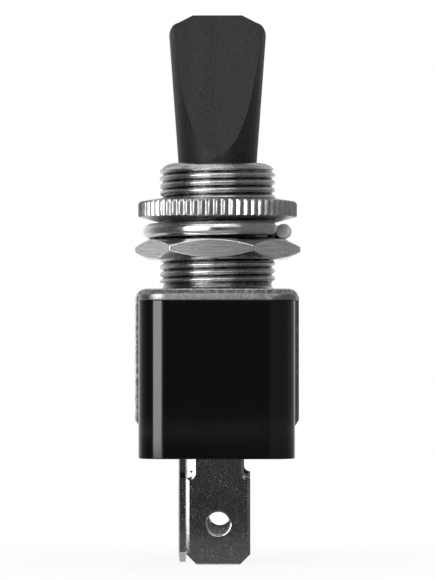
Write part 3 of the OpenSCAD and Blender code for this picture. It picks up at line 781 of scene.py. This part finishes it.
class SWITCH_OT_lock_washer(bpy.types.Operator):
    """Split washer: one turn of round wire, flat for half of it and then springing up."""
    bl_idname = "switch.lock_washer"
    bl_label = "Lock washer"

    def execute(self, context):
        w = context.scene.switch_washer
        low, high = (np.array(c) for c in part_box("lock_washer"))
        mean = high[0] - w.wire
        low_z, high_z = low[2] + w.wire, high[2] - w.wire + w.lift
        # stations along the wire: flat end, broken edge, round wire, broken edge, flat end
        broken, small = w.burr / mean, w.burr / w.wire
        start, stop = w.low_cut, w.high_cut + 2 * math.pi
        ends = np.array([[0, 0], [0, 0.6], [0, 1 - small], [0.25, 1 - 0.35 * small], [1, 1]])
        middle = np.linspace(start + broken, stop - broken, 260)[1:-1]
        turn = np.concatenate([start + broken * ends[:, 0], middle, stop - broken * ends[::-1, 0]])
        size = np.concatenate([ends[:, 1], np.ones(len(middle)), ends[::-1, 1]])
        # the wire lies flat for half a turn, then rises ever more steeply to its raised end
        share = (turn - start) / (stop - start)
        steepening = 1.6
        rise = low_z + (high_z - low_z) * np.maximum(2 * share - 1, 0) ** steepening
        around = np.linspace(0, 2 * math.pi, 40, endpoint=False)[:, None]
        wire = w.wire * size[None, :]
        r = mean + wire * np.cos(around)
        points = np.stack([r * np.cos(turn), r * np.sin(turn), rise + wire * np.sin(around)], -1)
        piece = merged(from_grid("lock_washer_wire", points, True, False))
        piece.data.set_sharp_from_angle(angle=math.radians(35))
        f = context.scene.switch_finishes
        stands_for(piece, "lock_washer", "lock_washer", wire_finish(tuple(f.wire)))

        # the cut faces are matte: those whose middle lies on one of the two end planes
        piece.data.materials.append(cut_wire_finish(tuple(f.wire)))
        middles = np.zeros(len(piece.data.polygons) * 3)
        piece.data.polygons.foreach_get("center", middles)
        x, y, _ = middles.reshape(-1, 3).T
        off = [np.abs(x * math.sin(cut) - y * math.cos(cut)) for cut in (start, stop)]
        at_cut = (np.minimum(*off) < 0.02 * w.burr) & (x > 0)
        piece.data.polygons.foreach_set("material_index", at_cut.astype(np.int32))
        return {"FINISHED"}


class SWITCH_OT_back_nut(bpy.types.Operator):
    """Hexagonal back nut with broken edges."""
    bl_idname = "switch.back_nut"
    bl_label = "Back nut"

    def execute(self, context):
        edges = context.scene.switch_edges
        f = context.scene.switch_finishes
        piece = softened("hex_nut", "hex_nut_plated", edges.nut, 20)
        stands_for(piece, "hex_nut", "back_nut", back_nut_finish(tuple(f.nut)))
        return {"FINISHED"}


class SWITCH_OT_lever(bpy.types.Operator):
    """Paddle lever with its soft edges."""
    bl_idname = "switch.lever"
    bl_label = "Paddle lever"

    def execute(self, context):
        edges = context.scene.switch_edges
        f = context.scene.switch_finishes
        piece = softened("lever", "lever_paddle", edges.lever, 22, 3)
        stands_for(piece, "lever", "lever", lever_finish(tuple(f.lever)))
        return {"FINISHED"}


class SWITCH_OT_sheets(bpy.types.Operator):
    """Folded mounting frame and the cover sheet under it."""
    bl_idname = "switch.sheets"
    bl_label = "Frame and cover"

    def execute(self, context):
        edges = context.scene.switch_edges
        f = context.scene.switch_finishes
        finishes = (("mounting_frame", "frame_folded", sheet_finish(tuple(f.sheet))),
                    ("cover_plate", "cover_sheared", sheared_finish(tuple(f.sheet), tuple(f.lip))))
        for node, name, finish in finishes:
            piece = softened(node, name, edges.sheet, 30)
            stands_for(piece, node, "switch_body", finish)
        return {"FINISHED"}


class SWITCH_OT_body(bpy.types.Operator):
    """Moulded body with its softened edges."""
    bl_idname = "switch.moulded_body"
    bl_label = "Moulded body"

    def execute(self, context):
        edges = context.scene.switch_edges
        f = context.scene.switch_finishes
        piece = softened("housing", "body_moulded", edges.moulding, 30)
        stands_for(piece, "housing", "switch_body", moulding_finish(tuple(f.moulding)))
        return {"FINISHED"}


def inset_corners(corners, distances):
    """Corners of an outline moved inwards, each side by its own distance.

    A corner's move x solves x . n0 = d0 and x . n1 = d1 for the normals of the sides before and after
    it. Where the sides nearly run on in line, it is (d0 + d1) / 2 (n0 + n1) / (1 + n0 . n1).
    """
    side = np.roll(corners, -1, 0) - corners
    side /= np.linalg.norm(side, axis=1)[:, None]
    n1 = np.stack([-side[:, 1], side[:, 0]], -1)
    n0 = np.roll(n1, 1, 0)
    d1 = np.asarray(distances)[:, None]
    d0 = np.roll(d1, 1, 0)
    turn = n0[:, 0] * n1[:, 1] - n0[:, 1] * n1[:, 0]
    bent = np.abs(turn) > 0.3
    divisor = np.where(bent, turn, 1)[:, None]
    solved = np.stack([d0[:, 0] * n1[:, 1] - d1[:, 0] * n0[:, 1],
                       d1[:, 0] * n0[:, 0] - d0[:, 0] * n1[:, 0]], -1) / divisor
    plain = (d0 + d1) / 2 * (n0 + n1) / (1 + (n0 * n1).sum(1))[:, None]
    return corners + np.where(bent[:, None], solved, plain)


def holed_plate(corners, bevels, bevel_depth, hole, hole_r, sink, thickness):
    """Bevelled plate with one round hole: a grid closed both ways, in (s, t, n) with n through the plate.

    u runs round the outline and v round the section: countersink, front face, bevel, edge and back
    again. A point of a face lies on the line from the hole's rim to the outline's inset.
    """
    spacing = 0.25 * MM
    sides = np.linalg.norm(np.roll(corners, -1, 0) - corners, axis=1)
    steps = np.maximum(np.ceil(sides / spacing), 1).astype(int)

    def along(shape):
        """Evenly spaced points along an outline's sides."""
        return np.concatenate([a + (b - a) * (np.arange(k) / k)[:, None]
                               for a, b, k in zip(shape, np.roll(shape, -1, 0), steps)])

    outline = along(corners)
    inner = along(inset_corners(corners, bevels))
    inward = inner - hole
    towards = inward / np.linalg.norm(inward, axis=1)[:, None]
    half = thickness / 2
    margin = 0.05 * MM

    def ring(radius):
        """Points round the hole, one towards each point of the outline."""
        return hole + towards * radius

    # the countersink, as shares of its width: how far out from the hole and how far under the face
    rounds = ((0, 0.9), (0.12, 0.55), (0.5, 0.16), (1, 0))
    front = [(ring(hole_r + out * sink), -half + under * sink) for out, under in rounds]
    front += [(ring(hole_r + sink + margin), -half), (inner - towards * margin, -half), (inner, -half),
              (outline, -half + bevel_depth)]
    section = front + [(place, -level) for place, level in front[::-1]]
    return np.stack([np.concatenate([place, np.full((len(outline), 1), level)], 1)
                     for place, level in section], 1)


def blade_corners(t, width, tip, top):
    """Outline of a terminal, anticlockwise from the tip, with the bevel of each side.

    The fillets are arcs of points centre + r (cos a, sin a). Each starts where its own inset meets the
    inset of the blade's side, so that no bevel folds over.
    """
    half, neck = width / 2, t.neck / 2
    shoulder = tip + t.blade
    meet = min(0.0, (half - t.bevel - neck - t.fillet) / (t.fillet + t.bevel))
    a = np.linspace(2 * math.pi - math.acos(meet), math.pi, 9)
    centre = (neck + t.fillet, shoulder + t.fillet)
    right = np.stack([centre[0] + t.fillet * np.cos(a), centre[1] + t.fillet * np.sin(a)], -1)
    lower = [[half - t.corner, tip], [half, tip + t.corner], [half, shoulder]]
    side = np.concatenate([lower, right, [[neck, top]]])
    mirrored = side[::-1] * np.array([-1, 1])
    corners = np.concatenate([side, mirrored])
    bevels = np.full(len(corners), t.bevel)
    bevels[-1] = t.tip_bevel
    return corners, bevels


class SWITCH_OT_terminals(bpy.types.Operator):
    """Three quick-connect terminals: bevelled blades with countersunk holes, and their bent feet."""
    bl_idname = "switch.terminals"
    bl_label = "Terminals"

    def execute(self, context):
        t = context.scene.switch_tabs
        f = context.scene.switch_finishes
        finish = tin_finish(tuple(f.tin))
        half = t.thickness / 2
        shank_share = 0.6  # of a rivet's head
        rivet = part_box("saddle_rivet")[1][0] * shank_share
        edge, sink = 0.05 * MM, 0.03 * MM
        for place in ("front", "centre", "back"):
            low, high = (np.array(c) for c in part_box("terminal_" + place))
            centre = place == "centre"
            width = (high - low)[1 if centre else 0]
            corners, bevels = blade_corners(t, width, low[2], high[2] - 0.02 * MM)
            blade = holed_plate(corners, bevels, t.bevel_depth, np.array([0, low[2] + t.hole_height]),
                                t.hole, t.sink, t.thickness)
            s, z, n = np.moveaxis(blade, -1, 0)
            # the foot is a plain plate over the floor, from the blade's plane inwards
            if centre:
                plane, reach, contact = low[0] + half, high[0], 0.0
                blade = np.stack([plane + n, -s, z], -1)
            else:
                outer = low[1] if place == "front" else high[1]
                sign = -1 if place == "front" else 1
                plane = outer - sign * half
                reach = high[1] if place == "front" else low[1]
                contact = float(sum(c[1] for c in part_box("fixed_contact_" + place)) / 2)
                blade = np.stack([s * -sign + t.sideways, plane - sign * n, z], -1)
            first, last = sorted((plane, reach))
            side = t.neck / 2
            foot = np.array([[-side, first], [side, first], [side, last], [-side, last]])
            foot = holed_plate(foot, np.full(4, edge), edge, np.array([0, contact]), rivet, sink,
                               t.thickness)
            s, u, n = np.moveaxis(foot, -1, 0)
            level = high[2] - half - n
            foot = np.stack([u, -s, level], -1) if centre else np.stack([s, u, level], -1)
            piece = joined([from_grid("blade_" + place, blade), from_grid("foot_" + place, foot)])
            merged(piece)
            piece.data.set_sharp_from_angle(angle=math.radians(6.5))
            stands_for(piece, "terminal_" + place, "switch_body", finish)
        return {"FINISHED"}


class SWITCH_OT_plunger_spring(bpy.types.Operator):
    """Coil spring over the plunger: a helix of round wire.

    The wire's centre is r (cos a, sin a), rising evenly with a. Its rings stand in the plane of r and z.
    """
    bl_idname = "switch.plunger_spring"
    bl_label = "Plunger spring"

    def execute(self, context):
        c = context.scene.switch_spring
        low, high = (np.array(corner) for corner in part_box("plunger_spring"))
        whole = 2 * math.pi * c.turns
        along = np.linspace(0, whole, 36 * c.turns)
        turn = np.concatenate([[0], along, [whole]])[None, :]
        wire = c.wire * np.concatenate([[0], np.ones(len(along)), [0]])[None, :]
        around = np.linspace(0, 2 * math.pi, 14, endpoint=False)[:, None]
        r = high[0] - c.wire + wire * np.cos(around)
        rise = low[2] + c.wire + (high[2] - low[2] - 2 * c.wire) * turn / whole
        points = np.stack([r * np.cos(turn), r * np.sin(turn), rise + wire * np.sin(around)], -1)
        piece = merged(from_grid("plunger_spring_coil", points, True, False))
        piece.data.set_sharp_from_angle(angle=math.radians(50))
        finish = plain_metal("Coil spring wire", tuple(context.scene.switch_finishes.steel), 0.25)
        stands_for(piece, "plunger_spring", "lever", finish)
        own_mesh(piece)
        return {"FINISHED"}


class SWITCH_OT_mechanism(bpy.types.Operator):
    """Finishes of the pieces inside the body, which keep their own meshes."""
    bl_idname = "switch.mechanism"
    bl_label = "Mechanism"

    def execute(self, context):
        f = context.scene.switch_finishes
        finishes = {
            plain_metal("Ground pin", tuple(f.steel), 0.2): ["pivot_pin"],
            plain_plastic("White nylon", tuple(f.white_nylon), 0.4): ["plunger"],
            plain_plastic("Red fibre", tuple(f.fibre), 0.7): ["insulator_sheet"],
            plain_metal("Saddle brass", tuple(f.brass), 0.3): ["rocker_saddle", "saddle_rivet"],
            plain_metal("Rocker copper", tuple(f.copper), 0.3): ["rocker"],
            plain_metal("Contact silver", tuple(f.silver), 0.25): [
                "fixed_contact_front", "fixed_contact_back",
                "rocker_contact_front", "rocker_contact_back"],
        }
        for finish, nodes in finishes.items():
            for node in nodes:
                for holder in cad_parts[node].material_slots:
                    holder.material = finish
        return {"FINISHED"}


# ---------------------------------------------------------------- stage

def softbox(name, azimuth, elevation, distance, size, radiance):
    """An area lamp that looks at the origin from a direction. Azimuth 0 is towards the camera."""
    lamp = bpy.data.lights.new(name, "AREA")
    lamp.shape = "RECTANGLE"
    lamp.size, lamp.size_y = size
    lamp.energy = radiance * math.pi * size[0] * size[1]
    holder = bpy.data.objects.new(name, lamp)
    a, e = math.radians(azimuth), math.radians(elevation)
    towards = np.array([math.sin(a) * math.cos(e), -math.cos(a) * math.cos(e), math.sin(e)])
    holder.location = towards * distance
    holder.rotation_euler = (math.pi / 2 - e, 0, a)
    holder.visible_camera = False
    bpy.context.scene.collection.objects.link(holder)
    return holder


def glow(piece, levels):
    """A plain glow that runs through evenly spaced levels along u, seen in reflections alone."""
    along = np.interp(np.linspace(0, 1, CARD_ROWS), np.linspace(0, 1, len(levels)), levels)
    tone = np.repeat(along, len(piece.data.vertices) // CARD_ROWS)
    piece.data.attributes.new("level", "FLOAT", "POINT").data.foreach_set("value", tone)
    material = bpy.data.materials.new(piece.name)
    tree = emptied(material)
    level = tree.nodes.new("ShaderNodeAttribute")
    level.attribute_name = "level"
    light = tree.nodes.new("ShaderNodeEmission")
    out = tree.nodes.new("ShaderNodeOutputMaterial")
    tree.links.new(level.outputs["Fac"], light.inputs["Strength"])
    tree.links.new(light.outputs[0], out.inputs["Surface"])
    piece.data.materials.append(material)
    piece.visible_camera = False
    piece.visible_diffuse = False
    piece.visible_shadow = False
    piece.visible_transmission = False


def card(name, azimuths, elevations, levels, distance=0.55):
    """A curved studio card: a patch of a sphere round the object.

    Its points are distance * (sin a cos e, -cos a cos e, sin e) over the given azimuths and elevations.
    """
    a = np.radians(np.linspace(*azimuths, CARD_ROWS))[:, None]
    e = np.radians(np.linspace(*elevations, 12))[None, :]
    x, y = np.sin(a) * np.cos(e), -np.cos(a) * np.cos(e)
    points = distance * np.stack([x, y, np.broadcast_to(np.sin(e), x.shape)], -1)
    glow(from_grid(name, points, False, False), levels)


def floor_card(name, azimuths, radii, levels):
    """A flat card just over the floor: a ring's sector with points (r sin a, -r cos a)."""
    a = np.radians(np.linspace(*azimuths, CARD_ROWS))[:, None]
    r = np.linspace(*radii, 6)[None, :]
    x, y = r * np.sin(a), -r * np.cos(a)
    points = np.stack([x, y, np.full_like(x, CAD_BOX[0][2] + 0.3 * MM)], -1)
    glow(from_grid(name, points, False, False), levels)


def seen_directly(tree):
    """A factor of 1 for camera, glossy and transmission rays, and 0 for light that falls on things."""
    path = tree.nodes.new("ShaderNodeLightPath")
    total = path.outputs["Is Camera Ray"]
    for ray in ("Is Glossy Ray", "Is Transmission Ray"):
        total = math_node(tree, "MAXIMUM", total, path.outputs[ray])
    return total


class SWITCH_OT_stage(bpy.types.Operator):
    """Pale floor, white room, softboxes, studio cards and the camera."""
    bl_idname = "switch.stage"
    bl_label = "Stage"

    def execute(self, context):
        st = context.scene.switch_studio
        scene = context.scene
        scene.view_settings.view_transform = "Standard"
        self.room(scene, st)
        self.floor()
        softbox("main_softbox", -34, 8, 0.36, (0.235, 0.30), st.key_light)
        softbox("overhead_softbox", -10, 68, 0.40, (0.34, 0.30), st.top_light)
        softbox("rear_softbox", 150, 35, 0.50, (0.30, 0.30), st.back_light).visible_glossy = False
        # what the metal mirrors: walls of light and dark, each with its own stretch of floor;
        # each has its azimuths, its levels from the first azimuth to the last, and its top
        walls = {
            "left_card": ((-150, -54), (1.0, 0.85, 0.5, 0.26, 0.15, 0.08, 0.08, 0.12), 60),
            "softbox_card": ((-54, -14), (0.5, 2.6, 2.6, 2.6, 2.6, 2.0), 12),
            "edge_card": ((-14, -3), (1.6, 0.5, 0.22, 0.12, 0.05), 14),
            "front_card": ((-3, 36), (0.05, 0.10, 0.22, 0.22, 0.18), 14),
            "right_card": ((36, 92), (0.20, 0.20), 48),
            "far_right_card": ((92, 152), (0.26, 0.32, 0.45, 0.7), 48),
        }
        for name, (azimuths, levels, top) in walls.items():
            card(name, azimuths, (-25, top), levels)
            floor_card("low_" + name, azimuths, (0.06, 0.5), levels)
        card("high_left_card", (-54, -14), (30, 60), (0.8, 0.8), 0.5)
        card("high_front_card", (-14, 34), (14, 56), (1.3, 1.7, 0.9), 0.5)
        card("back_card", (152, 210), (16, 60), (0.7, 0.45, 0.45, 0.7))
        card("upper_card", (-100, 152), (48, 90), (0.25, 0.25), 0.6)
        floor_card("near_floor_card", (-100, 152), (0.010, 0.06), (0.2, 0.2))
        self.camera(scene, st)
        return {"FINISHED"}

    def room(self, scene, st):
        """World: plain grey light on things, and white wherever it is seen or mirrored."""
        world = bpy.data.worlds.new("White room")
        scene.world = world
        tree = emptied(world)
        falling = plain_source(tree, "Background", 1, st.ambient)
        seen = plain_source(tree, "Background", 1, 1)
        out = tree.nodes.new("ShaderNodeOutputWorld")
        tree.links.new(mixed_shaders(tree, seen_directly(tree), falling, seen), out.inputs["Surface"])

    def floor(self):
        """White floor at the blades' tips.

        Where it is seen it is mostly its own white, so that a soft shadow stays near the object, and it
        clears to plain white further out. Its underside lets the view through.
        """
        reach = np.linspace(-3, 3, 9)
        x, y = np.meshgrid(reach, reach, indexing="ij")
        points = np.stack([x, y, np.full_like(x, CAD_BOX[0][2])], -1)
        piece = from_grid("floor", points, False, False)
        material = bpy.data.materials.new("Pale floor")
        tree = emptied(material)
        place = tree.nodes.new("ShaderNodeTexCoord")
        split = tree.nodes.new("ShaderNodeSeparateXYZ")
        tree.links.new(place.outputs["Object"], split.inputs[0])
        squares = [math_node(tree, "MULTIPLY", part, part) for part in split.outputs[:2]]
        away = math_node(tree, "POWER", math_node(tree, "ADD", *squares), 0.5)
        # the share of plain white: its least at the object, and its rise with each metre away
        least, per_metre = 0.90, 2.6
        clear = math_node(tree, "ADD", least, math_node(tree, "MULTIPLY", away, per_metre))
        clear = math_node(tree, "MINIMUM", clear, 1.0)
        paint = plain_source(tree, "BsdfDiffuse", 0.86)
        white = plain_source(tree, "Emission", 1, 1)
        seen = math_node(tree, "MULTIPLY", seen_directly(tree), clear)
        above = mixed_shaders(tree, seen, paint, white)
        below = tree.nodes.new("ShaderNodeBsdfTransparent").outputs[0]
        side = tree.nodes.new("ShaderNodeNewGeometry").outputs["Backfacing"]
        out = tree.nodes.new("ShaderNodeOutputMaterial")
        tree.links.new(mixed_shaders(tree, side, above, below), out.inputs["Surface"])
        piece.data.materials.append(material)

    def camera(self, scene, st):
        """Long lens, a little below the frame's top and to the right of the axis."""
        eye = bpy.data.cameras.new("camera")
        eye.lens = st.lens
        eye.sensor_width = 36
        eye.clip_start = 0.01
        eye.clip_end = 20
        holder = bpy.data.objects.new("camera", eye)
        holder.location = (st.camera_side, -st.distance, st.camera_height)
        looked_at = np.array([-0.01 * MM, 0, -0.05 * MM])
        aim = looked_at - np.array(holder.location)
        flat = math.hypot(aim[0], aim[1])
        holder.rotation_euler = (math.pi / 2 + math.atan2(aim[2], flat), 0, math.atan2(-aim[0], aim[1]))
        scene.collection.objects.link(holder)
        scene.camera = holder


# ---------------------------------------------------------------- panel and run

class SWITCH_PT_panel(bpy.types.Panel):
    """Sidebar panel that lists the pieces in the order they are made."""
    bl_label = "Toggle Switch"
    bl_idname = "SWITCH_PT_panel"
    bl_space_type = "VIEW_3D"
    bl_region_type = "UI"
    bl_category = "Toggle Switch"

    def draw(self, context):
        for operator in OPERATORS:
            self.layout.operator(operator.bl_idname)


OPERATORS = (
    SWITCH_OT_lever, SWITCH_OT_bushing, SWITCH_OT_knurled_nut, SWITCH_OT_lock_washer,
    SWITCH_OT_back_nut, SWITCH_OT_sheets, SWITCH_OT_body, SWITCH_OT_terminals,
    SWITCH_OT_plunger_spring, SWITCH_OT_mechanism, SWITCH_OT_stage,
)
GROUPS = {
    "switch_thread": ThreadSizes,
    "switch_knurl": KnurlSizes,
    "switch_washer": WasherSizes,
    "switch_tabs": TabSizes,
    "switch_spring": SpringSizes,
    "switch_edges": EdgeSizes,
    "switch_finishes": Finishes,
    "switch_studio": StudioSizes,
}


def register():
    """Registers the sizes on the scene, the operators and the panel."""
    for name, group in GROUPS.items():
        bpy.utils.register_class(group)
        setattr(bpy.types.Scene, name, bpy.props.PointerProperty(type=group))
    for item in (*OPERATORS, SWITCH_PT_panel):
        bpy.utils.register_class(item)


def unregister():
    """Takes everything that register adds away again."""
    for item in (SWITCH_PT_panel, *reversed(OPERATORS)):
        bpy.utils.unregister_class(item)
    for name, group in GROUPS.items():
        delattr(bpy.types.Scene, name)
        bpy.utils.unregister_class(group)


def main():
    """Makes every piece in order."""
    register()
    for operator in OPERATORS:
        family, name = operator.bl_idname.split(".")
        getattr(getattr(bpy.ops, family), name)()


if __name__ == "__main__":
    main()
